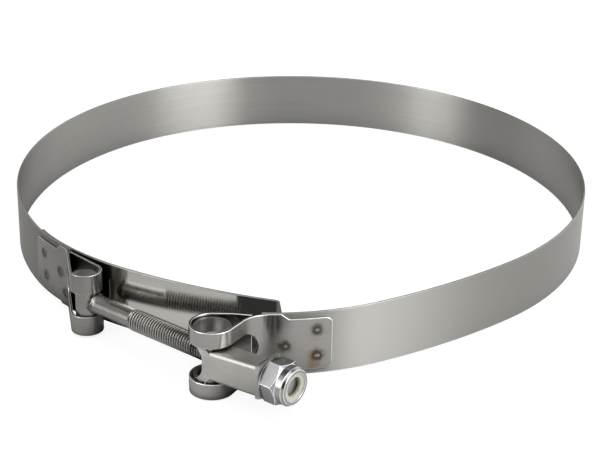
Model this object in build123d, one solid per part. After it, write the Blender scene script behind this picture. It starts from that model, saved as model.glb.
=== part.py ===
from build123d import *
import math
import os

os.makedirs("parts", exist_ok=True)

# T-bolt band clamp. Millimetres, Z up. The origin is the centre of the round part of
# the band at half the band's width, and the bolt runs across the front, on the -Y side.

# Band strip
band_width = 19.05
band_thickness = 0.64
ring_radius = 92.0  # outer face of the round part
round_from = -47.8  # degrees round from +X
round_to = 161.9
end_bend_radius = 68.0  # outer face beside both loops
right_flat_radius = 196.0
right_flat_length = 49.3
right_end_length = 33.0
left_flat_radius = 98.9
left_flat_length = 80.8
left_end_length = 20.4

# Tongue, the inner strip that bridges the gap between the band's ends
tongue_thickness = 0.64
tongue_lap = 16.5  # length welded under the band's left end
tongue_bend_radius = 88.1  # outer face, just past the band's end
tongue_bend_length = 20.0
tongue_run_radius = 171.7
tongue_run_length = 51.2
tongue_tip_bulge = 1.3
tongue_corner = 1.2

# Loop straps, one folded sheet each. Along is measured on the band towards the loop from
# the band's end, out from the band's outer face.
strap_thickness = 0.7
back_leg_gap = 0.3  # between the back leg's end and the root of the gooseneck
tab_width = 15.8
tab_corner = 2.0
weld_radius = 1.35
weld_depth = 0.12

left_loop_along = 14.25  # centre of the loop
left_loop_out = 5.1
left_bore_radius = 4.0
left_gooseneck_angle = 34.5
left_root_fillet = 2.4  # outer face
left_back_slope = 0.0
left_loop_height = 19.05
left_tab_length = 17.4
left_shoulder_far = 5.6
left_shoulder_near = 3.6
left_slot_start = -84.0  # degrees, round the loop from the line of the band
left_slot_gap = 0.72  # above and below the plain shank
left_arch_reach = 4.4  # arch's centre, up the gooseneck from the root's bend
left_welds = ((-12.6, 3.8), (-11.7, -3.3), (-3.5, 1.0), (-1.3, -5.2))  # along the tab, height

right_loop_along = 13.5
right_loop_out = 7.33
right_bore_radius = 5.6
right_gooseneck_angle = 60.0
right_root_fillet = 9.0
right_back_slope = 0.0
right_loop_height = 20.2
right_tab_length = 19.3
right_shoulder_far = 7.4
right_shoulder_near = 5.3
right_flare_start = -0.5  # the strap widens from the band's width to the loop's
right_flare_end = 8.0
right_slot_start = -114.0
right_slot_gap = 0.4  # above and below the trunnion's neck
right_arch_reach = 0.4
right_welds = ((-15.0, 4.4), (-15.0, -3.6), (-6.1, -0.3), (-5.0, -6.3))

# T-bolt
bolt_major_diameter = 6.2
bolt_shank_diameter = 5.76
thread_length = 57.5
thread_end_chamfer = 0.7
bolt_recess = 1.2  # the bolt's end inside the nut's outer face
head_diameter = 7.0
head_length = 16.4
head_chamfer = 0.4
head_seat_gap = 0.08

# Trunnion, one stamped and rolled sheet, turned a little against the bolt
trunnion_sheet = 1.1
ear_gap = 0.35  # between the ears and the loop's bore, loose until the clamp is tightened
ear_inset = 0.8  # ear ends below the loop's rims
ear_open_from = -84.0  # degrees round the barrel, where the roll stays open
ear_open_to = -76.0
passage_front = 2.9  # the bolt's way through the barrel, ahead of its axis
pivot_offset = 1.57  # barrel axis, out from the bolt's axis
hole_reach = 18.55  # along the stem from the pivot to the middle of the hole
hole_side = 0.5  # the hole's middle, out from the barrel's axis
neck_height = 10.0  # flat neck that joins the ears to the stem
neck_length = 1.6  # at its full height
flange_start = 2.7
stem_side_gap = 0.4  # bolt to flanges, above and below
flange_depth = 6.0
flange_end_gap = 0.55
stem_edge_radius = 1.3
end_bend = 1.5
end_wall_reach = 4.2  # end wall, past the barrel's axis on the side of the ring
end_wall_extra = 0.3  # end wall's height past the stem, above and below
window_edge = 0.35  # right-hand edge of the bolt window, from the pivot
window_height = 10.4
window_corner = 4.0
wall_hole_gap = 0.35

# Lock nut and its ring
nut_across_flats = 11.11
nut_hex_height = 5.2
nut_height = 8.0
nut_gap = 0.25
collar_diameter = 10.9
collar_chamfer_side = 0.55
collar_chamfer_high = 0.8
nut_chamfer_side = 1.0  # from the corners inwards
nut_chamfer_high = 0.85
lip_thickness = 0.4
lip_overhang = 0.35
insert_diameter = 8.7
insert_grip_radius = 2.75
thread_fit_gap = 0.03
nut_turn = 19.0  # degrees, the hexagon's turn on the bolt

# Derived sizes
half_width = band_width / 2
ear_radius = right_bore_radius - ear_gap
ear_bore_radius = ear_radius - trunnion_sheet
ear_length = right_loop_height - 2 * ear_inset
bolt_radius = bolt_major_diameter / 2
stem_inner_half = bolt_radius + stem_side_gap
stem_half = stem_inner_half + trunnion_sheet
stem_length = hole_reach + trunnion_sheet / 2  # to the outer face of the end wall
hole_distance = math.hypot(hole_reach, hole_side)
trunnion_turn = math.degrees(math.asin(pivot_offset / hole_distance) + math.atan2(hole_side, hole_reach))
left_slot_half = bolt_shank_diameter / 2 + left_slot_gap
right_slot_half = neck_height / 2 + right_slot_gap


# A state is x, y and heading in degrees. Positive radii turn left.
def advance(state, length, radius):
    x, y, heading = state
    h = math.radians(heading)
    if radius == 0:
        return (x + length * math.cos(h), y + length * math.sin(h), heading)
    h2 = h + length / radius
    return (x + radius * (math.sin(h2) - math.sin(h)),
            y - radius * (math.cos(h2) - math.cos(h)), math.degrees(h2))


# A point beside the path, to its left by offset
def beside(state, offset):
    h = math.radians(state[2])
    return (state[0] - offset * math.sin(h), state[1] + offset * math.cos(h))


# One edge of a strip, at an offset to the left of the path
def side_edge(state, length, radius, offset):
    first = beside(state, offset)
    last = beside(advance(state, length, radius), offset)
    if radius == 0:
        return Line(first, last)
    return ThreePointArc(first, beside(advance(state, length / 2, radius), offset), last)


# The plan of a bent strip between two offsets from its path
def strip_plan(start, segments, near, far):
    near_side = []
    far_side = []
    state = start
    for length, radius in segments:
        near_side.append(side_edge(state, length, radius, near))
        far_side.append(side_edge(state, length, radius, far))
        state = advance(state, length, radius)
    caps = [Line(beside(start, near), beside(start, far)),
            Line(beside(state, near), beside(state, far))]
    return make_face(near_side + far_side + caps)


def prism(points, half):
    return extrude(make_face(Polyline(*points, close=True)), half, both=True)


def upright(plan, half):
    return extrude(plan, half, both=True)


# The band's ends, found by walking out from the round part both ways
def band_ends():
    a = math.radians(round_from)
    right = (ring_radius * math.cos(a), ring_radius * math.sin(a), round_from - 90)
    right = advance(right, right_flat_length, -right_flat_radius)
    right = advance(right, right_end_length, -end_bend_radius)
    b = math.radians(round_to)
    left = (ring_radius * math.cos(b), ring_radius * math.sin(b), round_to + 90)
    left = advance(left, left_flat_length, left_flat_radius)
    left = advance(left, left_end_length, end_bend_radius)
    return right, left


right_end, left_end = band_ends()


# A strap's path from the start of its tab: the face next to the band, then the inside of the
# loop. side is 1 on the right, where outwards is to the left of the way along, and -1 on the
# left. The gooseneck is the line that leaves the band at the angle and touches the loop.
def strap_run(end, side, tab, along, out, bore, angle, fillet_radius, slope):
    g = math.radians(angle)
    bend = fillet_radius + strap_thickness
    line = (out + bore * math.cos(g)) / math.sin(g)
    trim = bend * math.tan(g / 2)
    root = along - bore * math.sin(g) - line * math.cos(g) - trim
    start = advance(end, -tab, -side * end_bend_radius)
    run = [(tab + root, -side * end_bend_radius), (bend * (g + root / end_bend_radius), side * bend),
           (line - trim, 0), (bore * (g + math.pi - math.radians(slope)), -side * bore)]
    return start, run


def left_run():
    return strap_run(left_end, -1, left_tab_length + 1, left_loop_along, left_loop_out,
                     left_bore_radius, left_gooseneck_angle, left_root_fillet, left_back_slope)


def right_run():
    return strap_run(right_end, 1, right_tab_length + 1, right_loop_along, right_loop_out,
                     right_bore_radius, right_gooseneck_angle, right_root_fillet, right_back_slope)


def walk(start, run):
    state = start
    for length, radius in run:
        state = advance(state, length, radius)
    return state


def loop_centre(path, side, bore):
    start, run = path
    return beside(walk(start, run[:3]), -side * bore)


left_loop_centre = loop_centre(left_run(), -1, left_bore_radius)
right_loop_centre = loop_centre(right_run(), 1, right_bore_radius)
head_shift = left_bore_radius - head_diameter / 2 - head_seat_gap
loop_span = math.dist(left_loop_centre, right_loop_centre)
span_angle = math.degrees(math.atan2(right_loop_centre[1] - left_loop_centre[1],
                                     right_loop_centre[0] - left_loop_centre[0]))
bolt_angle = span_angle + math.degrees(math.asin(pivot_offset / loop_span))
pivot_span = math.sqrt(loop_span ** 2 - pivot_offset ** 2) - head_shift
head_centre = (left_loop_centre[0] + head_shift * math.cos(math.radians(bolt_angle)),
               left_loop_centre[1] + head_shift * math.sin(math.radians(bolt_angle)))
wall_front = (stem_length * math.cos(math.radians(trunnion_turn))
              + (ear_radius - end_bend) * math.sin(math.radians(trunnion_turn)))
nut_start = pivot_span + wall_front + nut_gap
bolt_length = nut_start + nut_height - bolt_recess


# The upright plane that lies on a strip's face at a point of its path, X along the path
def band_face(state):
    h = math.radians(state[2])
    return Plane(origin=(state[0], state[1], 0), x_dir=(math.cos(h), math.sin(h), 0),
                 z_dir=(math.sin(h), -math.cos(h), 0))


# Band: one strip rolled to the ring's outline, flush-cut at both ends
def band():
    start = (right_end[0], right_end[1], right_end[2] + 180)
    round_length = ring_radius * math.radians(round_to - round_from)
    segments = [(right_end_length, end_bend_radius), (right_flat_length, right_flat_radius),
                (round_length, ring_radius), (left_flat_length, left_flat_radius),
                (left_end_length, end_bend_radius)]
    return upright(strip_plan(start, segments, 0, band_thickness), half_width)


# Tongue: lies on the band's inner face, then runs on free across the gap
def tongue():
    start = advance(left_end, -tongue_lap, end_bend_radius)
    segments = [(tongue_lap, end_bend_radius)]
    base = strip_plan(start, segments, band_thickness, band_thickness + tongue_thickness)
    free = beside(left_end, band_thickness)
    state = (free[0], free[1], left_end[2])
    c = tongue_corner
    bend = (tongue_bend_length, tongue_bend_radius)
    tip = walk(state, [bend, (tongue_run_length, tongue_run_radius)])
    # the strip runs on past the tip, so that the round cut goes right through it
    run = [bend, (tongue_run_length + c, tongue_run_radius)]
    body = upright(base, half_width) + upright(strip_plan(state, run, 0, tongue_thickness), half_width)
    h = half_width
    b = tongue_tip_bulge
    blank = band_face(tip) * Box(2 * (2 * c + b), 2 * (h + c), 8 * c)
    outline = make_face([Line((-2 * c - b, h + c), (-b, h - c)),
                         ThreePointArc((-b, h - c), (0, 0), (-b, c - h)),
                         Line((-b, c - h), (-2 * c - b, -h - c)), Line((-2 * c - b, -h - c), (-2 * c - b, h + c))])
    return body - (blank - extrude(band_face(tip) * outline, 8 * c, both=True))


# The back leg's length, straight on from the loop until it meets the gooseneck's straight
# part, or the bend at its root where that comes first
def leg_reach(start, run):
    root = walk(start, run[:1])
    goose = walk(start, run[:2])
    foot = walk(start, run)
    g = math.radians(goose[2])
    f = math.radians(foot[2])
    dx = goose[0] - foot[0]
    dy = goose[1] - foot[1]
    reach = (dx * math.sin(g) - dy * math.cos(g)) / math.sin(g - f)
    meet = advance(foot, reach, 0)
    if (meet[0] - goose[0]) * math.cos(g) + (meet[1] - goose[1]) * math.sin(g) > 0:
        return reach
    bend = run[1][1]
    hub = beside(root, bend)
    hx = hub[0] - foot[0]
    hy = hub[1] - foot[1]
    across = hy * math.cos(f) - hx * math.sin(f)
    return hx * math.cos(f) + hy * math.sin(f) - math.sqrt(bend ** 2 - across ** 2)


# Loop strap: tab on the band's outer face, gooseneck, loop, and a back leg that returns to
# the root. outline holds the strip's edge as (along, half height) from the tab's end.
def strap(end, side, path, bore, slot_start, arch_reach, slot_half, outline, welds):
    t = strap_thickness
    start, run = path
    goose = walk(start, run[:2])
    centre = loop_centre(path, side, bore)
    body = upright(strip_plan(start, run, 0, side * t), band_width)

    # arch: the slot's end, cut into the gooseneck and the bend at its root
    q = slot_half
    arch = advance(goose, arch_reach, 0)
    arch_plan = make_face([Line((q, q), (0, q)), ThreePointArc((0, q), (-q, 0), (0, -q)),
                           Line((0, -q), (q, -q)), Line((q, -q), (q, q))])
    body = body - extrude(band_face(arch) * arch_plan, 4 * t, both=True)
    leg = (leg_reach(start, run) - back_leg_gap, 0)
    body = body + upright(strip_plan(walk(start, run), [leg], 0, side * t), band_width)

    # edge outline, cut square to the band: rounded tab, slanting shoulder, loop
    e, w = outline[0]
    c = tab_corner
    k = c * (1 - math.sqrt(0.5))
    upper = [(e + c, w)] + list(outline[1:])
    lower = [(x, -z) for x, z in reversed(upper)]
    edge = [Line((e, -w + c), (e, w - c)), ThreePointArc((e, w - c), (e + k, w - k), (e + c, w)),
            Polyline(*upper), Line(upper[-1], lower[0]), Polyline(*lower),
            ThreePointArc((e + c, -w), (e + k, -w + k), (e, -w + c))]
    body = body & extrude(band_face(end) * make_face(edge), 2 * bore + band_width, both=True)

    # slot: from its start on the back leg round the loop to the arch
    h = math.radians(end[2])
    inner = beside(arch, -side * t / 2)
    clear = beside(arch, side * 4 * bore)
    a = h + side * math.radians(slot_start)
    rim = (centre[0] + 2 * bore * math.cos(a), centre[1] + 2 * bore * math.sin(a))
    beyond = (8 * bore * math.cos(h), 8 * bore * math.sin(h))
    points = [clear, inner, centre, rim, (rim[0] + beyond[0], rim[1] + beyond[1]),
              (clear[0] + beyond[0], clear[1] + beyond[1])]
    body = body - prism(points, q)

    # spot welds pressed in as shallow round marks
    for x, z in welds:
        spot = advance(end, x, -side * end_bend_radius)
        body = body - band_face(spot) * Pos(0, z, side * (weld_depth - 2 * t)) * Cylinder(weld_radius, 2 * t)
    return body


def left_loop_strap():
    reach = left_loop_along + 2 * left_bore_radius
    outline = [(-left_tab_length, tab_width / 2), (-left_shoulder_far, tab_width / 2),
               (-left_shoulder_near, left_loop_height / 2), (reach, left_loop_height / 2)]
    return strap(left_end, -1, left_run(), left_bore_radius, left_slot_start, left_arch_reach,
                 left_slot_half, outline, left_welds)


def right_loop_strap():
    reach = right_loop_along + 2 * right_bore_radius
    outline = [(-right_tab_length, tab_width / 2), (-right_shoulder_far, tab_width / 2),
               (-right_shoulder_near, half_width), (right_flare_start, half_width),
               (right_flare_end, right_loop_height / 2), (reach, right_loop_height / 2)]
    return strap(right_end, 1, right_run(), right_bore_radius, right_slot_start, right_arch_reach,
                 right_slot_half, outline, right_welds)


# T-bolt: a round cross head in the left loop and a threaded shank towards the right
def t_bolt():
    head = Cylinder(head_diameter / 2, head_length)
    head = chamfer(head.edges().filter_by(GeomType.CIRCLE), head_chamfer)
    plain = bolt_length - thread_length
    shank = Rot(0, 90, 0) * Pos(0, 0, plain / 2) * Cylinder(bolt_shank_diameter / 2, plain)
    rod = Cylinder(bolt_radius, thread_length)
    rod = chamfer(rod.edges().filter_by(GeomType.CIRCLE).sort_by(Axis.Z)[-1], thread_end_chamfer)
    rod = chamfer(rod.edges().filter_by(GeomType.CIRCLE).sort_by(Axis.Z)[0], bolt_radius - bolt_shank_diameter / 2)
    rod = Rot(0, 90, 0) * Pos(0, 0, plain + thread_length / 2) * rod
    return on_bolt(head + shank + rod)


# From the head's pivot with X along the bolt to the row frame
def on_bolt(shape):
    return Pos(head_centre[0], head_centre[1], 0) * Rot(0, 0, bolt_angle) * shape


# Trunnion: rolled ears, a channel stem open towards the ring and an end wall bent across it.
# Its own origin is the barrel's axis, X runs to the hole and -Y faces away from the ring.
def trunnion():
    r = ear_radius
    s = trunnion_sheet
    w = window_height / 2
    ears = Cylinder(r, ear_length) - Cylinder(ear_bore_radius, ear_length + s)
    a = math.radians(ear_open_from)
    b = math.radians(ear_open_to)
    wedge = [(0, 0), (2 * r * math.cos(a), 2 * r * math.sin(a)), (2 * r * math.cos(b), 2 * r * math.sin(b))]
    passage = [(-2 * r, -passage_front), (window_edge, -passage_front), (window_edge, s - r),
               (2 * r, s - r), (2 * r, 2 * r), (-2 * r, 2 * r)]
    ears = ears - prism(wedge, ear_length) - prism(passage, w)

    # flat neck, then the channel with its two flanges
    n = neck_height / 2
    low = stem_half - stem_edge_radius
    taper = neck_length + n - low
    front = Plane(origin=(0, -r, 0), x_dir=(1, 0, 0), z_dir=(0, -1, 0))
    neck = front * make_face(Polyline((0, -n), (neck_length, -n), (taper, -low), (taper, low),
                                      (neck_length, n), (0, n), close=True))
    flange_end = stem_length - s - flange_end_gap
    length = flange_end - flange_start
    middle = flange_start + length / 2
    stem = Pos(middle, flange_depth / 2 - r, 0) * Box(length, flange_depth, 2 * stem_half)
    stem = fillet(stem.edges().filter_by(Axis.X).sort_by(Axis.Y)[:2], stem_edge_radius)
    stem = stem - Pos(middle, s + flange_depth - r, 0) * Box(2 * length, 2 * flange_depth, 2 * stem_inner_half)

    # end wall, bent across the channel
    o = end_bend
    run = [(stem_length - o - flange_end, 0), (o * math.pi / 2, o), (r + end_wall_reach - o, 0)]
    wall = upright(strip_plan((flange_end, -r, 0.0), run, 0, s), stem_half + end_wall_extra)
    hole = Pos(stem_length, -hole_side, 0) * Rot(0, 90, 0) * Cylinder(bolt_radius + wall_hole_gap, 4 * s)

    window = Pos(window_edge - 2 * r, 0, 0) * Box(4 * r, 4 * r, window_height)
    window = fillet(window.edges().filter_by(Axis.Y), window_corner)
    body = ears + extrude(neck, -s) + stem + (wall - hole) - window
    return Pos(right_loop_centre[0], right_loop_centre[1], 0) * Rot(0, 0, bolt_angle + trunnion_turn) * body


# Lock nut along +Z from its seat: chamfered hexagon, round collar, crimped lip
def lock_nut():
    corner = nut_across_flats / math.sqrt(3)
    top = nut_hex_height
    hexagon = extrude(RegularPolygon(corner, 6), top)
    keep = Pos(0, 0, top / 2) * Cylinder(corner, top)
    keep = chamfer(keep.edges().filter_by(GeomType.CIRCLE), nut_chamfer_high, nut_chamfer_side)
    body = hexagon & keep
    collar = Pos(0, 0, nut_height / 2) * Cylinder(collar_diameter / 2, nut_height)
    rim = collar.edges().filter_by(GeomType.CIRCLE).sort_by(Axis.Z)[-1]
    collar = chamfer(rim, collar_chamfer_high, collar_chamfer_side)
    body = body + collar
    bore = Pos(0, 0, nut_height / 2) * Cylinder(bolt_radius + thread_fit_gap, nut_height + 2)
    seat_depth = nut_height - lip_thickness
    seat = Pos(0, 0, (top + seat_depth) / 2) * Cylinder(insert_diameter / 2, seat_depth - top)
    mouth = Pos(0, 0, nut_height) * Cylinder(insert_diameter / 2 - lip_overhang, 2 * lip_thickness + 0.02)
    return on_nut(body - bore - seat - mouth)


# Ring pressed under the nut's lip: clears the bolt's crests, and closes in past its end
def nylon_insert():
    low = nut_hex_height
    high = nut_height - lip_thickness
    ring = Pos(0, 0, (low + high) / 2) * Cylinder(insert_diameter / 2, high - low)
    grip_from = nut_height - bolt_recess + 0.1
    ring = ring - Pos(0, 0, grip_from - 5) * Cylinder(bolt_radius + thread_fit_gap, 10)
    ring = ring - Pos(0, 0, high) * Cylinder(insert_grip_radius, 4)
    return on_nut(ring)


# From the nut's seat with Z along the bolt to the row frame
def on_nut(shape):
    return on_bolt(Pos(nut_start, 0, 0) * Rot(0, 90, 0) * Rot(0, 0, nut_turn) * shape)


def save(name, shape):
    export_step(shape, "parts/" + name + ".step")


save("band", band())
save("tongue", tongue())
save("left_loop_strap", left_loop_strap())
save("right_loop_strap", right_loop_strap())
save("t_bolt", t_bolt())
save("trunnion", trunnion())
save("lock_nut", lock_nut())
save("nylon_insert", nylon_insert())
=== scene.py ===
import bmesh
import bpy
import math
import numpy as np
from mathutils import Matrix, Vector


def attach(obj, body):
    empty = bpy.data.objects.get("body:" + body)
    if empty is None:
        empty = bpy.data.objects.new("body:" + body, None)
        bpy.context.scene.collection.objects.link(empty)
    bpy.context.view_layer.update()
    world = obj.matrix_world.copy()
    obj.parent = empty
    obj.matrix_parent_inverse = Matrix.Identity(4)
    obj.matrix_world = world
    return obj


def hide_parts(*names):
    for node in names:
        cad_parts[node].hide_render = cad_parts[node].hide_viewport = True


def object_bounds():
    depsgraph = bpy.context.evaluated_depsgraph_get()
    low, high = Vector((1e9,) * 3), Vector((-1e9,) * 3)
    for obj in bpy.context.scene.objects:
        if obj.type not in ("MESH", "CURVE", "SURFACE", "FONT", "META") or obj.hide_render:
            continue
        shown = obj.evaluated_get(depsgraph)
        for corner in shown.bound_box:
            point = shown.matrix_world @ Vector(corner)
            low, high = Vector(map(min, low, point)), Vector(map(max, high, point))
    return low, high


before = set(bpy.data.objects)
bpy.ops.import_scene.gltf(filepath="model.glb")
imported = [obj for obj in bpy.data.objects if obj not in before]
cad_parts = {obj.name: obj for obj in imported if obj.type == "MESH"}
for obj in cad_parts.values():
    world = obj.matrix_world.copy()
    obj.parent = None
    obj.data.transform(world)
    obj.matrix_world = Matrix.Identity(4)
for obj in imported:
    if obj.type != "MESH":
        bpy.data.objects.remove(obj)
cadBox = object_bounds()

mm = 0.001
scene = bpy.context.scene

# The clamp's plan in millimetres and degrees. A state is x, y and a heading, and a run is a
# length and the radius that it bends on.
ring = {"radius": 92.0, "roundFrom": -47.8, "roundTo": 161.9,
        "rightFlat": (49.3, 196.0), "rightEnd": 33.0,
        "leftFlat": (80.8, 98.9), "leftEnd": 20.4,
        "endBend": 68.0, "width": 19.05, "thickness": 0.64}


# The end of a run: the heading grows by length over radius, and the point moves by the radius
# times the change of the heading's sine, and of its cosine with the sign turned
def stepAlong(state, length, radius):
    x, y, heading = state
    before = math.radians(heading)
    after = before + length / radius
    return (x + radius * (math.sin(after) - math.sin(before)),
            y - radius * (math.cos(after) - math.cos(before)), math.degrees(after))


# The band's two ends: out from each limit of the round part, over the flatter run and the end
# bend. The walk to the right goes clockwise, so its radii are negative.
def bandEnds():
    radius, endBend = ring["radius"], ring["endBend"]
    a, b = math.radians(ring["roundFrom"]), math.radians(ring["roundTo"])
    right = (radius * math.cos(a), radius * math.sin(a), ring["roundFrom"] - 90)
    right = stepAlong(right, ring["rightFlat"][0], -ring["rightFlat"][1])
    right = stepAlong(right, ring["rightEnd"], -endBend)
    left = (radius * math.cos(b), radius * math.sin(b), ring["roundTo"] + 90)
    left = stepAlong(left, *ring["leftFlat"])
    left = stepAlong(left, ring["leftEnd"], endBend)
    return right, left


rightEnd, leftEnd = bandEnds()


# Points of a path of runs, as whole arrays: on each run the heading grows by length over
# radius, and the point is the run's start plus its chord
def walkPath(start, runs, spacing):
    along, points, headings = [], [], []
    state, gone = start, 0.0
    for length, radius in runs:
        count = max(3, int(math.ceil(length / spacing)) + 1)
        steps = np.linspace(0, length, count)[1 if along else 0:]  # runs share an end point
        before = math.radians(state[2])
        after = before + steps / radius
        x = state[0] + radius * (np.sin(after) - math.sin(before))
        y = state[1] - radius * (np.cos(after) - math.cos(before))
        along.append(gone + steps)
        points.append(np.stack([x, y], 1))
        headings.append(after)
        state, gone = stepAlong(state, length, radius), gone + length
    return np.concatenate(along), np.concatenate(points), np.concatenate(headings)


# A closed mesh from a grid of points in millimetres: each row is a ring, quads join it to the
# next, and the first and last rows are capped. An attribute has one value a point.
def gridMesh(name, grid, attributes):
    rows, cols = grid.shape[:2]
    index = np.arange(rows * cols).reshape(rows, cols)
    nextCol = np.roll(index, -1, axis=1)
    quads = np.stack([index[:-1], nextCol[:-1], nextCol[1:], index[1:]], -1).reshape(-1, 4)
    faces = quads.tolist() + [index[0, ::-1].tolist(), index[-1].tolist()]
    mesh = bpy.data.meshes.new(name)
    mesh.from_pydata((grid.reshape(-1, 3) * mm).tolist(), [], faces)
    for key, values in attributes.items():
        layer = mesh.attributes.new(key, "FLOAT", "POINT")
        layer.data.foreach_set("value", values.astype(np.float32).ravel())
    mesh.update()
    work = bmesh.new()
    work.from_mesh(mesh)
    bmesh.ops.recalc_face_normals(work, faces=work.faces)
    work.to_mesh(mesh)
    work.free()
    piece = bpy.data.objects.new(name, mesh)
    scene.collection.objects.link(piece)
    return piece


# Smooth faces, with a sharp edge wherever two faces turn by more than the angle in degrees
def shadeSmooth(mesh, sharpAngle):
    limit = math.radians(sharpAngle)
    work = bmesh.new()
    work.from_mesh(mesh)
    for face in work.faces:
        face.smooth = True
    for edge in work.edges:
        edge.smooth = len(edge.link_faces) == 2 and edge.calc_face_angle(0) < limit
    work.to_mesh(mesh)
    work.free()


# Section of a strip: a rectangle from near to far across its thickness and half each way in
# height, its corners quarter circles. The corners carry the rim mask, and the sides' first and
# last points stand a rim's width in from them.
def stripSection(spec):
    near, far, corner = spec["near"], spec["far"], spec["corner"]
    turn = np.radians(np.linspace(0, 90, spec["cornerPoints"]))
    c, s = np.cos(turn), np.sin(turn)
    low, high, up = near + corner, far - corner, spec["half"] - corner
    inset = spec["rimWidth"]
    side = np.array([up - inset, up * 0.5, 0.0, -up * 0.5, inset - up])
    parts = [np.stack([high + corner * c, up + corner * s], 1),
             np.stack([low - corner * s, up + corner * c], 1),
             np.stack([np.full(len(side), near), side], 1),
             np.stack([low - corner * c, -up - corner * s], 1),
             np.stack([high + corner * s, -up - corner * c], 1),
             np.stack([np.full(len(side), far), -side], 1)]
    onRim, onSide = np.ones(2 * len(turn)), np.zeros(len(side))
    return np.concatenate(parts), np.concatenate([onRim, onSide, onRim, onSide])


# A strip: its section is carried along the path, and a place across stands to the left of the
# heading. Where the tip bulges, rows are drawn back by the square of their height, and its
# corners are pinched by the square of the way into the tip.
def stripPiece(name, start, runs, spec):
    along, points, headings = walkPath(start, runs, spec["spacing"])
    section, rim = stripSection(spec)
    s = np.repeat(along[:, None], len(section), 1)
    z = np.repeat(section[None, :, 1], len(along), 0)
    if "tipBulge" in spec:
        total = along[-1]
        s = s * (1 - spec["tipBulge"] / total * (z / spec["half"]) ** 2)
        intoTip = np.clip(s - total + spec["tipCorner"] + spec["tipBulge"], 0, None)
        z = z * (1 - intoTip ** 2 * spec["tipPinch"])
    x = np.interp(s, along, points[:, 0])
    y = np.interp(s, along, points[:, 1])
    h = np.interp(s, along, headings)
    across = section[None, :, 0]
    grid = np.stack([x - across * np.sin(h), y + across * np.cos(h), z], -1)
    attributes = {"rim": np.repeat(rim[None], len(along), 0)}
    if "outerDepth" in spec:
        outer = (across < spec["near"] + spec["outerDepth"]) * 1.0
        attributes["outer"] = np.repeat(outer, len(along), 0)
    piece = gridMesh(name, grid, attributes)
    shadeSmooth(piece.data, spec["sharp"])
    return piece


# The band runs from its right end round to its left. Near is its outer face, which keeps just
# inside the flat facets of the solid.
bandSpec = {"near": 0.012, "far": ring["thickness"], "half": ring["width"] / 2, "corner": 0.15,
            "cornerPoints": 5, "rimWidth": 0.25, "spacing": 0.8, "sharp": 40, "outerDepth": 0.01}
bandStart = (rightEnd[0], rightEnd[1], rightEnd[2] + 180)
bandRuns = [(ring["rightEnd"], ring["endBend"]), ring["rightFlat"],
            (ring["radius"] * math.radians(ring["roundTo"] - ring["roundFrom"]), ring["radius"]),
            ring["leftFlat"], (ring["leftEnd"], ring["endBend"])]
bandStrip = stripPiece("band_strip", bandStart, bandRuns, bandSpec)
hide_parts("band")
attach(bandStrip, "clamp_band")
print("band strip made")

tongueSpec = {"near": 0.64, "far": 1.28, "half": ring["width"] / 2, "corner": 0.15,
              "cornerPoints": 5, "rimWidth": 0.25, "spacing": 0.6, "sharp": 40,
              "lap": 16.5, "bend": (20.0, 88.1), "run": (51.2, 171.7),
              "tipBulge": 1.3, "tipCorner": 1.2, "tipPinch": 0.012}


# The tongue: a lap on the band's left end, and two free runs. Their lengths and radii are
# those of the face that leaves the band, so both grow as the radius does from there to near.
def buildTongue():
    inner = tongueSpec["near"]
    start = stepAlong(leftEnd, -tongueSpec["lap"], ring["endBend"])
    runs = [(tongueSpec["lap"], ring["endBend"])]
    for length, radius in (tongueSpec["bend"], tongueSpec["run"]):
        runs.append((length * (radius + inner) / radius, radius + inner))
    piece = stripPiece("tongue_strip", start, runs, tongueSpec)
    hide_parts("tongue")
    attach(piece, "clamp_band")
    return piece


tongueStrip = buildTongue()
print("tongue made")

# T-bolt: the origin is on the head's axis, and the shank goes to the right and the front. The
# rows are first place, last place and how many: those of the plain shank end short of the
# thread, and those of the thread start before it and end before the tip, so many a turn.
bolt = {"head": (-60.884628, -79.613489), "turn": -38.450876,
        "headRadius": 3.5, "headHalf": 8.2, "headEdge": 0.45, "headSides": 72, "headRows": 9,
        "poleRadius": 0.02, "dishAt": 0.55, "dishSteps": 1.9, "dish": (0.12, 0.1, 0.03),
        "sideSteps": 3.5,
        "edgeSteps": [(1.2, 0.0), (0.6, 0.13), (0.16, 0.5), (0.0, 1.1), (0.0, 2.2)],
        "shankRadius": 2.88, "crestRadius": 3.1, "rootRadius": 2.52, "pitch": 0.907,
        "plainLength": 18.17692, "length": 75.67692, "endBevel": 0.75, "shankSides": 64,
        "neckRows": (0.5, 2.4, 4), "beadRows": (2.7, 6.0, 34), "plainRows": (6.6, -0.9, 14),
        "threadRows": (-0.8, -0.02, 12), "rootShare": 0.16, "flankShare": 0.66,
        "rounding": 0.4, "runIn": 1.3,
        "beadAt": 3.9, "beadHeight": 0.28, "beadWidth": 0.7, "beadSeed": 11, "beadUneven": 0.45,
        "waveCounts": (2, 9), "waveSize": (0.1, 0.3), "wavePhase": (0, 6.28),
        "waveSlant": (-3, 3), "sootWidth": 1.1, "sootDepth": 0.6, "sootUneven": 0.5,
        "sharp": 50}


# The bolt's own x along the shank and y across it, turned about the head and moved to it
def boltPlace(points):
    a = math.radians(bolt["turn"])
    x = bolt["head"][0] + points[..., 0] * math.cos(a) - points[..., 1] * math.sin(a)
    y = bolt["head"][1] + points[..., 0] * math.sin(a) + points[..., 1] * math.cos(a)
    return np.stack([x, y, points[..., 2]], -1)


# Places along the shank that have a row of points: close on the bead and the thread, and wide
# on the plain part between them
def shankRows():
    b = bolt
    first, back, count = b["plainRows"]
    lead, short, perTurn = b["threadRows"]
    return np.concatenate([
        np.linspace(*b["neckRows"]), np.linspace(*b["beadRows"]),
        np.linspace(first, b["plainLength"] + back, count),
        np.arange(b["plainLength"] + lead, b["length"] + short, b["pitch"] / perTurn),
        np.array([b["length"]])])


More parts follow.
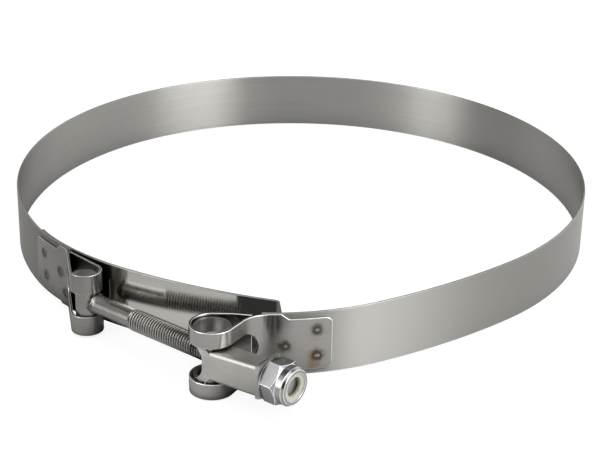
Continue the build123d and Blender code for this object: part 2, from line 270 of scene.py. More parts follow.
# Shank: a radius that depends on the place along and the angle. The thread is a ridge in the
# phase, which is along over pitch less the share of a full turn, and fades in from the plain
# shank. A bell along the shank, uneven with a sum of cosines, is the bead at the head.
def boltShank():
    b = bolt
    angle = np.linspace(0, 2 * math.pi, b["shankSides"], endpoint=False)
    xs, th = np.meshgrid(shankRows(), angle, indexing="ij")
    phase = np.mod(xs / b["pitch"] - th / (2 * math.pi), 1.0)
    ridge = np.clip((np.abs(2 * phase - 1) - b["rootShare"]) / b["flankShare"], 0, 1)
    ridge = (1 - b["rounding"]) * ridge + b["rounding"] * ridge ** 2 * (3 - 2 * ridge)
    thread = b["rootRadius"] + (b["crestRadius"] - b["rootRadius"]) * ridge
    fade = np.clip((xs - b["plainLength"]) / (b["runIn"] * b["pitch"]), 0, 1)
    r = b["shankRadius"] + (thread - b["shankRadius"]) * fade
    intoEnd = np.clip(1 - (b["length"] - xs) / b["endBevel"], 0, 1)
    r = np.minimum(r, b["crestRadius"] - b["endBevel"] * intoEnd)
    rng = np.random.default_rng(b["beadSeed"])
    waves = sum(rng.uniform(*b["waveSize"]) * np.cos(
        k * th + rng.uniform(*b["wavePhase"]) + rng.uniform(*b["waveSlant"]) * xs)
        for k in range(*b["waveCounts"]))
    bead = np.exp(-((xs - b["beadAt"]) / b["beadWidth"]) ** 2)
    r += b["beadHeight"] * bead * (1 + b["beadUneven"] * waves)
    grid = boltPlace(np.stack([xs, r * np.cos(th), r * np.sin(th)], -1))
    soot = np.exp(-((xs - b["beadAt"]) / b["sootWidth"]) ** 2)
    soot = b["sootDepth"] * soot * (1 + b["sootUneven"] * waves)
    # The crest mask lightens the thread's crests, a painted highlight; the groove mask darkens its
    # roots, painted shade, and adds soot by the bead
    piece = gridMesh("bolt_shank", grid,
                     {"crestHighlight": ridge * fade, "grooveShadeAndSoot": (1 - ridge) * fade + soot})
    shadeSmooth(piece.data, b["sharp"])
    return piece


# Head: a profile of radius and height, carried once round its own axis. The end is dished, and
# its edge steps down by multiples of the edge's size. The lower half mirrors the upper.
def boltHead():
    b = bolt
    r, h, e = b["headRadius"], b["headHalf"], b["headEdge"]
    deep, middle, shallow = b["dish"]
    dish = np.array([(b["poleRadius"], h - deep), (r * b["dishAt"], h - middle),
                     (r - b["dishSteps"] * e, h - shallow)])
    upper = np.concatenate([dish, np.array([r, h]) - e * np.array(b["edgeSteps"])])
    sideTop = h - b["sideSteps"] * e
    heights = np.linspace(sideTop, -sideTop, b["headRows"])
    body = np.stack([np.full(len(heights), r), heights], 1)
    profile = np.concatenate([upper, body, upper[::-1] * np.array([1, -1])])
    angle = np.linspace(0, 2 * math.pi, b["headSides"], endpoint=False)
    rr, th = np.meshgrid(profile[:, 0], angle, indexing="ij")
    zz = np.repeat(profile[:, 1][:, None], len(angle), 1)
    grid = boltPlace(np.stack([rr * np.cos(th), rr * np.sin(th), zz], -1))
    piece = gridMesh("bolt_head", grid, {})
    shadeSmooth(piece.data, b["sharp"])
    return piece


boltShankPiece, boltHeadPiece = boltShank(), boltHead()
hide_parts("t_bolt")
for piece in (boltShankPiece, boltHeadPiece):
    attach(piece, "bolt")
print("bolt made")

# Spot welds: how far past the band's end, height in millimetres, and how much heat colour
strapThickness = 0.7
leftMarks = [(-12.6, 3.8, 0.1), (-11.7, -3.3, 0.1), (-3.5, 1.0, 0.15), (-1.3, -5.2, 0.1)]
rightMarks = [(-15.0, 4.4, 0.1), (-15.0, -3.6, 0.75), (-6.1, -0.3, 0.15), (-5.0, -6.3, 0.15)]


# A weld's place in metres: along the end bend from the band's end, then out square to the
# heading by the strap's thickness. The side is 1 on the right and -1 on the left.
def weldPlaces(end, side, marks):
    places = []
    for along, height, heat in marks:
        x, y, heading = stepAlong(end, along, -side * ring["endBend"])
        h = math.radians(heading)
        out = side * strapThickness
        place = ((x - out * math.sin(h)) * mm, (y + out * math.cos(h)) * mm, height * mm)
        places.append((place, heat))
    return places


leftWelds, rightWelds = weldPlaces(leftEnd, -1, leftMarks), weldPlaces(rightEnd, 1, rightMarks)

# The sheets, the nut and its ring keep their solids' shapes. Sharp is in degrees, bevel in
# millimetres.
solids = {
    "left_strap_sheet": {
        "node": "left_loop_strap", "slot": "left_strap_steel", "body": "clamp_band",
        "sharp": 32, "bevel": 0.2, "welds": leftWelds},
    "right_strap_sheet": {
        "node": "right_loop_strap", "slot": "right_strap_steel", "body": "clamp_band",
        "sharp": 32, "bevel": 0.2, "welds": rightWelds},
    "trunnion_stamping": {
        "node": "trunnion", "slot": "trunnion_steel", "body": "swivel",
        "sharp": 32, "bevel": 0.14, "clamped": True},
    "nut_body": {
        "node": "lock_nut", "slot": "nut_steel", "body": "nut", "sharp": 24, "bevel": 0.12},
    "nylon_ring": {
        "node": "nylon_insert", "slot": "nylon", "body": "nut", "sharp": 32, "bevel": 0.1}}
dressing = {"mergeWithin": 3e-6, "flatWithin": 0.4, "weldReach": 0.0017, "bevelSteps": 3}


# A copy of a solid from the frame, merged, its sharp edges rounded by a small bevel whose faces
# take the second material. The pressed rims of the spot welds stay as they are.
def dressedCopy(name, spec):
    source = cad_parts[spec["node"]]
    mesh = bpy.data.meshes.new(name)
    work = bmesh.new()
    work.from_mesh(source.data)
    bmesh.ops.remove_doubles(work, verts=work.verts, dist=dressing["mergeWithin"])
    bmesh.ops.dissolve_limit(work, angle_limit=math.radians(dressing["flatWithin"]),
                             verts=work.verts, edges=work.edges)
    weights = work.edges.layers.float.new("bevel_weight_edge")
    spots = [Vector(place) for place, heat in spec.get("welds", [])]
    limit = math.radians(spec["sharp"])
    for edge in work.edges:
        middle = (edge.verts[0].co + edge.verts[1].co) / 2
        sharp = len(edge.link_faces) == 2 and edge.calc_face_angle(0) > limit
        if sharp and all((middle - spot).length > dressing["weldReach"] for spot in spots):
            edge[weights] = 1.0
    work.to_mesh(mesh)
    work.free()
    piece = bpy.data.objects.new(name, mesh)
    scene.collection.objects.link(piece)
    shadeSmooth(mesh, spec["sharp"])
    bevel = piece.modifiers.new("brokenEdges", "BEVEL")
    bevel.width = spec["bevel"] * mm
    bevel.segments = dressing["bevelSteps"]
    bevel.limit_method = "WEIGHT"
    bevel.material = 1
    bevel.use_clamp_overlap = spec.get("clamped", False)
    normals = piece.modifiers.new("faceNormals", "WEIGHTED_NORMAL")
    normals.keep_sharp = True
    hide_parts(spec["node"])
    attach(piece, spec["body"])
    return piece


dressed = {name: dressedCopy(name, spec) for name, spec in solids.items()}
print("sheet and nut pieces made")


# Shader helpers: a value is either a socket to link or a number to set
def feed(tree, socket, value):
    if isinstance(value, bpy.types.NodeSocket):
        tree.links.new(value, socket)
    elif value is not None:
        socket.default_value = value


def addNode(tree, kind, settings=None, values=None):
    node = tree.nodes.new(kind)
    for key, value in (settings or {}).items():
        setattr(node, key, value)
    for key, value in (values or {}).items():
        feed(tree, node.inputs[key], value)
    return node


def mathNode(tree, operation, a, b=None, clamp=False):
    node = addNode(tree, "ShaderNodeMath", {"operation": operation, "use_clamp": clamp})
    for socket, value in zip(node.inputs, (a, b)):
        feed(tree, socket, value)
    return node.outputs[0]


def vectorNode(tree, operation, *inputs):
    node = addNode(tree, "ShaderNodeVectorMath", {"operation": operation}, dict(enumerate(inputs)))
    return node.outputs["Value" if operation in ("DOT_PRODUCT", "DISTANCE") else "Vector"]


# Inputs 6 and 7 and output 2 are the colour ones
def mixColour(tree, factor, a, b, blend="MIX"):
    node = addNode(tree, "ShaderNodeMix",
                   {"data_type": "RGBA", "blend_type": blend, "clamp_factor": True},
                   {0: factor, 6: a, 7: b})
    return node.outputs[2]


def noiseNode(tree, vector, scale, detail, roughness=0.5):
    return addNode(tree, "ShaderNodeTexNoise", values={
        "Vector": vector, "Scale": scale, "Detail": detail, "Roughness": roughness}).outputs


# A value's span from first to last, spread over low to high and held there beyond it
def spreadNode(tree, value, span, low, high, smooth=False):
    settings = {"interpolation_type": "SMOOTHSTEP"} if smooth else {}
    return addNode(tree, "ShaderNodeMapRange", settings,
                   {0: value, 1: span[0], 2: span[1], 3: low, 4: high}).outputs[0]


def greyRamp(tree, value, stops):
    node = addNode(tree, "ShaderNodeValToRGB", values={0: value})
    ramp = node.color_ramp
    for element, (place, level) in zip(ramp.elements, stops):
        element.position = place
        element.color = (level, level, level, 1)
    return node.outputs[0]


def objectPoint(tree):
    return addNode(tree, "ShaderNodeTexCoord").outputs["Object"]


def maskFrom(tree, attribute):
    return addNode(tree, "ShaderNodeAttribute", {"attribute_name": attribute}).outputs["Fac"]


# How open a point is to its surroundings within a distance, from 0 to 1
def openness(tree, distance):
    return addNode(tree, "ShaderNodeAmbientOcclusion", {"samples": 8},
                   {"Distance": distance}).outputs["AO"]


# Warm takes blue away, and green by under a third as much
def grey(level, warm=0.0):
    return (level, level * (1 - 0.3 * warm), level * (1 - warm), 1)


def newMaterial(name):
    material = bpy.data.materials.new(name)
    material.use_nodes = True
    return material, material.node_tree, material.node_tree.nodes["Principled BSDF"]


# Sockets are a label, a kind and, on the way in, a value to start from
def newGroup(name, inputs, outputs):
    group = bpy.data.node_groups.new(name, "ShaderNodeTree")
    for label, kind, value in inputs:
        socket = group.interface.new_socket(
            name=label, in_out="INPUT", socket_type="NodeSocket" + kind)
        socket.default_value = value
    for label, kind in outputs:
        group.interface.new_socket(name=label, in_out="OUTPUT", socket_type="NodeSocket" + kind)
    enter, leave = group.nodes.new("NodeGroupInput"), group.nodes.new("NodeGroupOutput")
    return group, enter.outputs, leave.inputs


# A group placed in a material with values of its own
def placeGroup(tree, group, values):
    return addNode(tree, "ShaderNodeGroup", {"node_tree": group}, values).outputs


# Rolled grain: noise drawn out along the strip and fine across it, mixed with broad clouding,
# gives a tone from dark to light and a roughness from low to high
grainNoise = {"detail": 5.0, "roughness": 0.62, "span": (0.3, 0.7),
              "cloudScale": 110.0, "cloudDetail": 4.0, "cloudRoughness": 0.55}


def rolledGrainGroup():
    group, given, result = newGroup(
        "rolledGrain",
        [("Along", "Float", 25.0), ("Across", "Float", 4000.0), ("Clouding", "Float", 0.3),
         ("Dark", "Color", grey(0.4)), ("Light", "Color", grey(0.6)),
         ("Rough Low", "Float", 0.2), ("Rough High", "Float", 0.4)],
        [("Color", "Color"), ("Roughness", "Float"), ("Height", "Float")])
    n = grainNoise
    coords = objectPoint(group)
    scale = addNode(group, "ShaderNodeCombineXYZ", values={
        "X": given["Along"], "Y": given["Along"], "Z": given["Across"]}).outputs[0]
    stretched = vectorNode(group, "MULTIPLY", coords, scale)
    grain = noiseNode(group, stretched, 1.0, n["detail"], n["roughness"])[0]
    cloud = noiseNode(group, coords, n["cloudScale"], n["cloudDetail"], n["cloudRoughness"])[0]
    mixed = addNode(group, "ShaderNodeMix", {"data_type": "FLOAT"},
                    {0: given["Clouding"], 2: grain, 3: cloud}).outputs[0]
    tone = greyRamp(group, mixed, [(n["span"][0], 0.0), (n["span"][1], 1.0)])
    colour = mixColour(group, tone, given["Dark"], given["Light"])
    rough = spreadNode(group, mixed, n["span"], given["Rough Low"], given["Rough High"])
    group.links.new(colour, result["Color"])
    group.links.new(rough, result["Roughness"])
    group.links.new(grain, result["Height"])
    return group


# Spot weld: an uneven dark blotch with a small bright nugget beside its middle, and brown heat
# colour smeared down one side. Offsets are in metres, reaches in radii.
weldMark = {"radius": 0.0014, "fade": (0.35, 1.15), "roughen": 0.25, "sink": 1.2,
            "noiseScale": 620.0, "noiseDetail": 4.0, "noiseRoughness": 0.65,
            "wander": 0.0022, "centring": -0.0011,
            "blotchReach": 1.55, "nuggetAt": (0.0002, 0, -0.0002), "nuggetReach": 0.5,
            "heatReach": 2.2, "smearAt": (-0.0008, 0, -0.0022), "smearReach": 1.7,
            "heatTone": (0.28, 0.19, 0.13, 1), "sootTone": (0.05, 0.04, 0.033, 1),
            "nuggetTone": (0.62, 0.6, 0.58, 1)}


# 1 at the weld's place moved by an offset, falling smoothly to 0 where the distance over the
# reach is past the fade
def weldReach(group, given, source, offset, reach):
    place = vectorNode(group, "ADD", given["Place"], offset)
    gap = vectorNode(group, "DISTANCE", source, place)
    near = mathNode(group, "DIVIDE", gap, mathNode(group, "MULTIPLY", given["Radius"], reach))
    return spreadNode(group, near, weldMark["fade"], 1.0, 0.0, smooth=True)


def spotWeldGroup():
    group, given, result = newGroup(
        "spotWeld",
        [("Place", "Vector", (0, 0, 0)), ("Radius", "Float", 0.001), ("Heat", "Float", 0.2),
         ("Depth", "Float", 0.8), ("Nugget", "Float", 0.5),
         ("Color", "Color", grey(0.5)), ("Height", "Float", 0.0)],
        [("Color", "Color"), ("Height", "Float"), ("Mask", "Float")])
    w = weldMark
    coords = objectPoint(group)
    noise = noiseNode(group, coords, w["noiseScale"], w["noiseDetail"], w["noiseRoughness"])
    moved = vectorNode(group, "MULTIPLY_ADD", noise["Color"], (w["wander"],) * 3, coords)
    moved = vectorNode(group, "ADD", moved, (w["centring"],) * 3)
    blotch = mathNode(group, "MULTIPLY", given["Depth"],
                      weldReach(group, given, moved, (0, 0, 0), w["blotchReach"]))
    nugget = mathNode(group, "MULTIPLY", given["Nugget"],
                      weldReach(group, given, moved, w["nuggetAt"], w["nuggetReach"]))
    smear = mathNode(group, "MAXIMUM",
                     weldReach(group, given, moved, (0, 0, 0), w["heatReach"]),
                     weldReach(group, given, moved, w["smearAt"], w["smearReach"]))
    heat = mathNode(group, "MULTIPLY", smear, given["Heat"])
    tinted = mixColour(group, heat, given["Color"], w["heatTone"])
    dark = mixColour(group, blotch, tinted, w["sootTone"])
    bright = mixColour(group, nugget, dark, w["nuggetTone"])
    height = mathNode(group, "SUBTRACT", given["Height"],
                      mathNode(group, "MULTIPLY", blotch, w["sink"]))
    group.links.new(bright, result["Color"])
    group.links.new(height, result["Height"])
    group.links.new(blotch, result["Mask"])
    return group


# Crevice shade: painted shade in hollows and gaps. How open the surface is to its surroundings
# is turned into a multiplier for the colour
creviceShadeSpan = (0.25, 0.85)


def creviceShadeGroup():
    group, given, result = newGroup(
        "creviceShade", [("Reach", "Float", 0.006), ("Dark", "Float", 0.3)], [("Shade", "Float")])
    clear = openness(group, given["Reach"])
    group.links.new(spreadNode(group, clear, creviceShadeSpan, given["Dark"], 1.0), result["Shade"])
    return group


# Rim: the cut edges of a strip or the crests of the thread take a tone of their own. A lighter
# tone there, on the band's edges and the thread's crests, is a painted highlight; the tongue's
# rims are darker and rougher.
def rimGroup():
    group, given, result = newGroup(
        "brightRim",
        [("Mask", "Float", 0.0), ("Share", "Float", 0.7), ("Tone", "Color", grey(0.5)),
         ("Roughen", "Float", 0.0), ("Color", "Color", grey(0.5)), ("Roughness", "Float", 0.3)],
        [("Color", "Color"), ("Roughness", "Float")])
    amount = mathNode(group, "MULTIPLY", given["Mask"], given["Share"])
    extra = mathNode(group, "MULTIPLY", given["Mask"], given["Roughen"])
    group.links.new(mixColour(group, amount, given["Color"], given["Tone"]), result["Color"])
    group.links.new(mathNode(group, "ADD", given["Roughness"], extra), result["Roughness"])
    return group


# Lift: an upright face's normal tipped up by a fixed part and a part that grows along a
# direction, on the heights within a limit each way
def liftGroup():
    group, given, result = newGroup(
        "tippedFace",
        [("Facing", "Vector", (0, 0, 1)), ("Rise", "Float", 0.0),
         ("Growth", "Vector", (0, 0, 0)), ("Within", "Float", 1.0)],
        [("Normal", "Vector")])
    coords = objectPoint(group)
    slope = vectorNode(group, "DOT_PRODUCT", coords, given["Growth"])
    amount = mathNode(group, "ADD", slope, given["Rise"])
    tall = addNode(group, "ShaderNodeSeparateXYZ", values={0: coords}).outputs["Z"]
    within = mathNode(group, "LESS_THAN", mathNode(group, "ABSOLUTE", tall), given["Within"])
    amount = mathNode(group, "MULTIPLY", amount, within)
    rise = addNode(group, "ShaderNodeCombineXYZ", values={"Z": amount}).outputs[0]
    tipped = vectorNode(group, "ADD", given["Facing"], rise)
    group.links.new(vectorNode(group, "NORMALIZE", tipped), result["Normal"])
    return group


rolledGrain, spotWeld, creviceShade = rolledGrainGroup(), spotWeldGroup(), creviceShadeGroup()
brightRim, tippedFace = rimGroup(), liftGroup()

boltAxis = (math.cos(math.radians(bolt["turn"])), math.sin(math.radians(bolt["turn"])), 0.0)
nutSeat = min(vertex.co.dot(Vector(boltAxis)) for vertex in dressed["nut_body"].data.vertices)
steelDetail = {"bumpDepth": 0.00004, "outerLitShare": 0.6, "grooveShadeAndSootTone": 0.03,
               "seamFrom": 0.0005, "seamTo": 0.0013, "seamShadeTone": 0.02}


# Steel: grain, then what the finish names of spot welds, outer face, grooves, rims, seam and
# crevices, each laid over the colour so far, and one metallic shader. The outer face's lighter
# tone and light rims are painted light; the grooves' dark is painted shade and soot, and the
# seam's and crevices' dark is painted shade.
def steelMaterial(name, spec):
    material, tree, shader = newMaterial(name)
    warm, detail = spec["warm"], steelDetail
    grain = placeGroup(tree, rolledGrain, {
        "Along": spec["along"], "Across": spec["across"], "Clouding": spec["clouding"],
        "Dark": grey(spec["dark"], warm), "Light": grey(spec["light"], warm),
        "Rough Low": spec["rough"][0], "Rough High": spec["rough"][1]})
    colour, rough, height = grain["Color"], grain["Roughness"], grain["Height"]
    for place, heat in spec.get("welds", []):
        spot = placeGroup(tree, spotWeld, {
            "Place": place, "Radius": weldMark["radius"], "Heat": heat,
            "Depth": spec["weldDepth"], "Nugget": spec["nugget"],
            "Color": colour, "Height": height})
        colour, height = spot["Color"], spot["Height"]
        extra = mathNode(tree, "MULTIPLY", spot["Mask"], weldMark["roughen"])
        rough = mathNode(tree, "ADD", rough, extra, clamp=True)
    if "outerRough" in spec:
        outside = maskFrom(tree, "outer")
        extra = mathNode(tree, "MULTIPLY", outside, spec["outerRough"])
        rough = mathNode(tree, "ADD", rough, extra)
        # painted light: the outer face takes a slightly lighter tone than the inner; its added
        # roughness is its own finish
        share = mathNode(tree, "MULTIPLY", outside, detail["outerLitShare"])
        colour = mixColour(tree, share, colour, grey(spec["outerLitTone"], warm))
    if "grooveShadeAndSoot" in spec:
        # painted shade in the thread's roots, with soot by the bead
        share = mathNode(tree, "MULTIPLY", maskFrom(tree, "grooveShadeAndSoot"), spec["grooveShadeAndSoot"])
        colour = mixColour(tree, share, colour, grey(detail["grooveShadeAndSootTone"]))
    if "rim" in spec:
        rim = placeGroup(tree, brightRim, {
            "Mask": maskFrom(tree, spec["rim"]), "Share": spec["rimShare"],
            "Tone": grey(spec["rimTone"], warm), "Roughen": spec.get("rimRough", 0.0),
            "Color": colour, "Roughness": rough})
        colour, rough = rim["Color"], rim["Roughness"]
    if "seamShade" in spec:
        # painted shade: dark where the nut sits on the trunnion, fading out along the bolt
        onBolt = vectorNode(tree, "DOT_PRODUCT", objectPoint(tree), boltAxis)
        span = (spec["seamShade"] + detail["seamFrom"], spec["seamShade"] + detail["seamTo"])
        fade = spreadNode(tree, onBolt, span, detail["seamShadeTone"], 1.0)
        colour = mixColour(tree, 1.0, colour, fade, "MULTIPLY")
    if "creviceShade" in spec:
        # painted shade: the colour darkens where the surface is closed in
        reach, dark = spec["creviceShade"]
        shade = placeGroup(tree, creviceShade, {"Reach": reach * mm, "Dark": dark})["Shade"]
        colour = mixColour(tree, 1.0, colour, shade, "MULTIPLY")
    tree.links.new(colour, shader.inputs["Base Color"])
    tree.links.new(rough, shader.inputs["Roughness"])
    shader.inputs["Metallic"].default_value = spec.get("metallic", 1.0)
    shader.inputs["Anisotropic"].default_value = spec["anisotropic"]
    shader.inputs["Anisotropic Rotation"].default_value = spec["turn"]
    # the grain runs level along every upright face
    facing = addNode(tree, "ShaderNodeNewGeometry").outputs["Normal"]
    level = vectorNode(tree, "CROSS_PRODUCT", (0, 0, 1), facing)
    tree.links.new(level, shader.inputs["Tangent"])
    bump = addNode(tree, "ShaderNodeBump", values={
        "Strength": spec["bump"], "Distance": detail["bumpDepth"], "Height": height})
    if "lift" in spec:
        rise, growth, within = spec["lift"]
        tipped = placeGroup(tree, tippedFace, {
            "Facing": facing, "Rise": rise, "Growth": growth, "Within": within * mm})
        tree.links.new(tipped["Normal"], bump.inputs["Normal"])
    tree.links.new(bump.outputs[0], shader.inputs["Normal"])
    return material


# Along and across are the grain's scales, and dark, light and rough its spans. Lift is the tip
# up, its growth for each metre and its limit of height; crevice shade, painted shade in hollows
# and gaps, is its reach and its darkest share. Both lengths are in millimetres.
finishes = {
    "bandSteel": {
        "along": 18.0, "across": 3600.0, "clouding": 0.25, "dark": 0.36, "light": 0.44,
        "warm": 0.08, "rough": (0.38, 0.46), "anisotropic": 0.95, "turn": 0.25, "bump": 0.06,
        "outerRough": 0.2, "outerLitTone": 0.42, "rim": "rim", "rimShare": 0.7, "rimTone": 0.5},
    "tongueSteel": {
        "along": 20.0, "across": 3800.0, "clouding": 0.25, "dark": 0.54, "light": 0.64,
        "warm": 0.08, "rough": (0.1, 0.15), "anisotropic": 0.75, "turn": 0.25, "bump": 0.02,
        "lift": (0.1, (0, 0, 0), 20.0),
        "rim": "rim", "rimShare": 0.7, "rimTone": 0.3, "rimRough": 0.3},
    "leftStrapSteel": {
        "along": 60.0, "across": 2600.0, "clouding": 0.45, "dark": 0.24, "light": 0.33,
        "warm": 0.08, "rough": (0.2, 0.28), "anisotropic": 0.75, "turn": 0.25, "bump": 0.05,
        "welds": leftWelds, "weldDepth": 0.6, "nugget": 0.1, "creviceShade": (3.0, 0.3)},
    "rightStrapSteel": {
        "along": 60.0, "across": 2600.0, "clouding": 0.45, "dark": 0.33, "light": 0.43,
        "warm": 0.08, "rough": (0.16, 0.22), "anisotropic": 0.75, "turn": 0.25, "bump": 0.05,
        "welds": rightWelds, "weldDepth": 0.85, "nugget": 0.6, "creviceShade": (3.0, 0.3)},
    "trunnionSteel": {
        "along": 300.0, "across": 700.0, "clouding": 0.6, "dark": 0.4, "light": 0.52,
        "warm": 0.08, "rough": (0.36, 0.46), "anisotropic": 0.2, "turn": 0.0, "bump": 0.12,
        "lift": (1.19, (-15.5, 12.3, 26.4), 4.4), "creviceShade": (5.0, 0.15)},
    "nutSteel": {
        "along": 300.0, "across": 300.0, "clouding": 0.6, "dark": 0.33, "light": 0.41,
        "warm": -0.01, "rough": (0.2, 0.27), "anisotropic": 0.0, "turn": 0.0, "bump": 0.0,
        "seamShade": nutSeat, "creviceShade": (2.4, 0.0)},
    "boltSteel": {
        "along": 120.0, "across": 160.0, "clouding": 0.5, "dark": 0.25, "light": 0.35,
        "warm": 0.08, "rough": (0.25, 0.32), "anisotropic": 0.0, "turn": 0.0, "bump": 0.0,
        "rim": "crestHighlight", "rimShare": 0.6, "rimTone": 0.56, "grooveShadeAndSoot": 0.9},
    # Edge steels: light tones for the bevels, painted highlights on the edges; the dull one is a
    # dimmer painted highlight
    "edgeHighlightSteel": {
        "along": 400.0, "across": 900.0, "clouding": 0.5, "dark": 0.85, "light": 0.96,
        "warm": 0.02, "rough": (0.3, 0.4), "anisotropic": 0.0, "turn": 0.0, "bump": 0.06,
        "metallic": 0.9},
    "dullEdgeHighlightSteel": {
        "along": 400.0, "across": 900.0, "clouding": 0.5, "dark": 0.5, "light": 0.6,
        "warm": 0.02, "rough": (0.34, 0.44), "anisotropic": 0.0, "turn": 0.0, "bump": 0.06}}
steel = {name: steelMaterial(name, spec) for name, spec in finishes.items()}

nylon = {"scale": 600.0, "detail": 4.0, "dark": (0.95, 0.92, 0.8, 1),
         "light": (0.99, 0.975, 0.88, 1), "rough": (0.32, 0.5), "glow": 0.25,
         "glowReach": (0.002, 0.0016, 0.001), "bump": 0.15, "bumpDepth": 0.00005}


# Nylon: cream, a little clouded and pitted, with light that goes some way into it
def nylonMaterial():
    material, tree, shader = newMaterial("nylonCream")
    noise = noiseNode(tree, objectPoint(tree), nylon["scale"], nylon["detail"])[0]
    tree.links.new(mixColour(tree, noise, nylon["dark"], nylon["light"]),
                   shader.inputs["Base Color"])
    tree.links.new(spreadNode(tree, noise, (0.0, 1.0), *nylon["rough"]),
                   shader.inputs["Roughness"])
    shader.inputs["Subsurface Weight"].default_value = nylon["glow"]
    shader.inputs["Subsurface Radius"].default_value = nylon["glowReach"]
    bump = addNode(tree, "ShaderNodeBump", values={
        "Strength": nylon["bump"], "Distance": nylon["bumpDepth"], "Height": noise})
    tree.links.new(bump.outputs[0], shader.inputs["Normal"])
    return material


nylonCream = nylonMaterial()


# The second material is for the faces of a bevel. On the steel pieces it is a lighter steel, a
# painted highlight on the edges
def wear(piece, *materials):
    piece.data.materials.clear()
    for material in materials:
        piece.data.materials.append(material)


wear(bandStrip, steel["bandSteel"])
wear(tongueStrip, steel["tongueSteel"])
wear(boltShankPiece, steel["boltSteel"])
wear(boltHeadPiece, steel["boltSteel"])
wear(dressed["left_strap_sheet"], steel["leftStrapSteel"], steel["dullEdgeHighlightSteel"])
wear(dressed["right_strap_sheet"], steel["rightStrapSteel"], steel["edgeHighlightSteel"])
wear(dressed["trunnion_stamping"], steel["trunnionSteel"], steel["dullEdgeHighlightSteel"])
wear(dressed["nut_body"], steel["nutSteel"], steel["edgeHighlightSteel"])
wear(dressed["nylon_ring"], nylonCream, nylonCream)
for node, name in (("band", "bandSteel"), ("tongue", "tongueSteel"), ("t_bolt", "boltSteel"),
                   ("left_loop_strap", "leftStrapSteel"),
                   ("right_loop_strap", "rightStrapSteel"),
                   ("trunnion", "trunnionSteel"), ("lock_nut", "nutSteel")):
    wear(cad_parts[node], steel[name])
wear(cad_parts["nylon_insert"], nylonCream)
print("materials made")

# Studio: a pale floor, white all round, and grey cards and soft boxes that only the metal sees.
# Spans overhead are left, right, front and back.
studio = {"floorAt": cadBox[0].z - 0.0002, "floorHalf": 6, "floorTone": 0.26, "floorRough": 0.9,
          "floorLift": 0.84, "glossLift": (0.3, 0.6), "glossSpan": (-0.13, -0.03),
          "shadeReach": 0.016, "shadeSpan": (0.3, 0.95), "shadeTone": 0.02,
          "worldSoft": 0.8, "cardRadius": 1.3, "cardPosts": 24, "topAt": 1.5,
          "topSpan": (-1.0, 1.0, -1.4, -0.1), "topLevel": 1.8,
          "darkSpan": (-1.3, 1.3, -0.1, 1.3), "darkLevel": 0.1,
          "flag": [(-30.6, -111.0), (-29.0, -108.0), (-27.0, -105.7), (-24.6, -104.75),
                   (-10.6, -104.7)],
          "flagHeight": (-9.5, 16.0), "flagLevel": 0.045}


# 1 on the rays of any of these kinds
def rayMask(tree, names):
    path = tree.nodes.new("ShaderNodeLightPath")
    mask = path.outputs[names[0]]
    for name in names[1:]:
        mask = mathNode(tree, "MAXIMUM", mask, path.outputs[name])
    return mask


# The world is white to the eye and in reflections, and a little softer as a light
def makeWorld():
    world = bpy.data.worlds.new("studioWhite")
    scene.world = world
    world.use_nodes = True
    tree = world.node_tree
    mask = rayMask(tree, ["Is Camera Ray", "Is Glossy Ray", "Is Transmission Ray"])
    rest = mathNode(tree, "MULTIPLY", mask, 1.0 - studio["worldSoft"])
    back = tree.nodes["Background"]
    back.inputs["Color"].default_value = (1, 1, 1, 1)
    tree.links.new(mathNode(tree, "ADD", rest, studio["worldSoft"]), back.inputs["Strength"])


# The floor is white to the eye, and grey paper that takes a shadow as a light
def makeFloor():
    mesh = bpy.data.meshes.new("floor")
    half, z = studio["floorHalf"], studio["floorAt"]
    corners = [(-half, -half, z), (half, -half, z), (half, half, z), (-half, half, z)]
    mesh.from_pydata(corners, [], [(0, 1, 2, 3)])
    floor = bpy.data.objects.new("floor", mesh)
    scene.collection.objects.link(floor)
    material, tree, shader = newMaterial("floorPaper")
    shader.inputs["Roughness"].default_value = studio["floorRough"]
    shader.inputs["Specular IOR Level"].default_value = 0.0
    shader.inputs["Emission Color"].default_value = (1, 1, 1, 1)
    seen = rayMask(tree, ["Is Camera Ray", "Is Transmission Ray"])
    seen = mathNode(tree, "MULTIPLY", seen, studio["floorLift"])
    # the metal sees the floor darker towards the left, and with painted shadow where the clamp is
    # close above it
    x = addNode(tree, "ShaderNodeSeparateXYZ", values={0: objectPoint(tree)}).outputs["X"]
    side = spreadNode(tree, x, studio["glossSpan"], *studio["glossLift"], smooth=True)
    clear = spreadNode(tree, openness(tree, studio["shadeReach"]), studio["shadeSpan"],
                       0.0, 1.0, smooth=True)
    glossy = rayMask(tree, ["Is Glossy Ray"])
    mirrored = mathNode(tree, "MULTIPLY", mathNode(tree, "MULTIPLY", glossy, side), clear)
    shaded = mathNode(tree, "MULTIPLY", glossy, mathNode(tree, "SUBTRACT", 1.0, clear))
    paper = mathNode(tree, "SUBTRACT", 1.0, shaded)
    tone = mixColour(tree, paper, grey(studio["shadeTone"]), grey(studio["floorTone"]))
    tree.links.new(tone, shader.inputs["Base Color"])
    tree.links.new(mathNode(tree, "MAXIMUM", seen, mirrored), shader.inputs["Emission Strength"])
    mesh.materials.append(material)


# A plain glow, for what only reflections see
def glowMaterial(name, level):
    material = bpy.data.materials.new(name)
    material.use_nodes = True
    tree = material.node_tree
    tree.nodes.clear()
    glow = addNode(tree, "ShaderNodeEmission", values={"Strength": level})
    leave = addNode(tree, "ShaderNodeOutputMaterial")
    tree.links.new(glow.outputs[0], leave.inputs["Surface"])
    return material


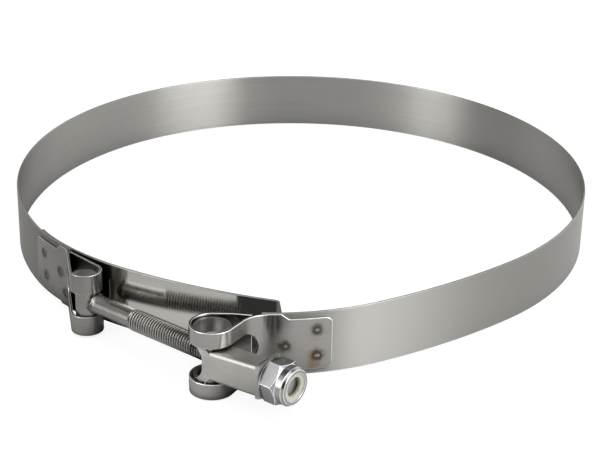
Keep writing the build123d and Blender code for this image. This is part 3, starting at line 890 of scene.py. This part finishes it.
# Cards stand on an arc round the clamp, between two compass angles in degrees. They reach up
# from the height of its middle, in metres.
cards = {
    "cardFront": {"from": 220, "to": 301, "high": 0.9, "level": 0.03},
    "boxLeft": {"from": 197, "to": 220, "high": 1.2, "level": 3.6},
    "boxRight": {"from": 304, "to": 337, "high": 1.2, "level": 4.2},
    "cardRight": {"from": 337, "to": 425, "high": 0.9, "level": 1.25},
    "cardBack": {"from": 65, "to": 105, "high": 1.3, "level": 0.22},
    "cardBackLeft": {"from": 105, "to": 162, "high": 1.2, "level": 0.6},
    "cardLeft": {"from": 162, "to": 197, "high": 1.2, "level": 0.12}}


def hangCard(name, points, faces, level):
    mesh = bpy.data.meshes.new(name)
    mesh.from_pydata(points, [], faces)
    mesh.materials.append(glowMaterial(name, level))
    panel = bpy.data.objects.new(name, mesh)
    scene.collection.objects.link(panel)
    panel.visible_camera = False
    panel.visible_diffuse = False
    panel.visible_transmission = False
    panel.visible_shadow = False


# An upright card: a row of points, the same row higher up, and quads between them
def uprightCard(name, low, high, level):
    i = np.arange(len(low) - 1)
    faces = np.stack([i, i + 1, i + 1 + len(low), i + len(low)], 1)
    hangCard(name, np.concatenate([low, high]).tolist(), faces.tolist(), level)


def makeCards():
    radius = studio["cardRadius"]
    for name, card in cards.items():
        a = np.radians(np.linspace(card["from"], card["to"], studio["cardPosts"]))
        low = np.stack([radius * np.cos(a), radius * np.sin(a), np.zeros(len(a))], 1)
        uprightCard(name, low, low + np.array([0, 0, card["high"]]), card["level"])
    # a small dark flag behind the right loop, seen only in reflections, puts painted shade on the
    # tongue's end and the loop's inside
    low, high = (np.array([(x * mm, y * mm, z * mm) for x, y in studio["flag"]])
                 for z in studio["flagHeight"])
    uprightCard("gapFlag", low, high, studio["flagLevel"])
    for name, span, level in (("boxTop", "topSpan", "topLevel"),
                              ("ceilingDark", "darkSpan", "darkLevel")):
        left, right, front, back = studio[span]
        z = studio["topAt"]
        corners = [(left, front, z), (right, front, z), (right, back, z), (left, back, z)]
        hangCard(name, corners, [(3, 2, 1, 0)], studio[level])


# Two soft lamps, both aimed at the ring's centre
lamps = {"size": (0.5, 0.6), "power": 2.6,
         "places": {"lampLeft": (-0.9, -0.7, 1.0), "lampRight": (0.9, -0.8, 0.9)}}


def makeLamps():
    for name, place in lamps["places"].items():
        light = bpy.data.lights.new(name, "AREA")
        light.shape = "RECTANGLE"
        light.size, light.size_y = lamps["size"]
        light.energy = lamps["power"]
        lamp = bpy.data.objects.new(name, light)
        scene.collection.objects.link(lamp)
        lamp.location = place
        lamp.rotation_euler = Vector(-np.array(place)).to_track_quat("-Z", "Y").to_euler()


makeWorld()
makeFloor()
makeCards()
makeLamps()
print("studio made")

# Camera at the photograph's place
view = {"place": (0.0, -0.494165, 0.212201), "right": (0.99980, 0.00901, 0.01776),
        "up": (-0.01989, 0.41178, 0.91107), "forward": (-0.00090, 0.91124, -0.41187),
        "lens": 97.33, "sensor": 36.0, "clip": (0.01, 50)}


def makeCamera():
    data = bpy.data.cameras.new("camera")
    data.sensor_width = view["sensor"]
    data.lens = view["lens"]
    data.clip_start, data.clip_end = view["clip"]
    camera = bpy.data.objects.new("camera", data)
    scene.collection.objects.link(camera)
    right, up, forward = (np.array(view[k]) for k in ("right", "up", "forward"))
    turn = Matrix(np.stack([right, up, -forward], 1).tolist()).to_4x4()
    camera.matrix_world = Matrix.Translation(view["place"]) @ turn
    scene.camera = camera


makeCamera()
scene.view_settings.view_transform = "Standard"
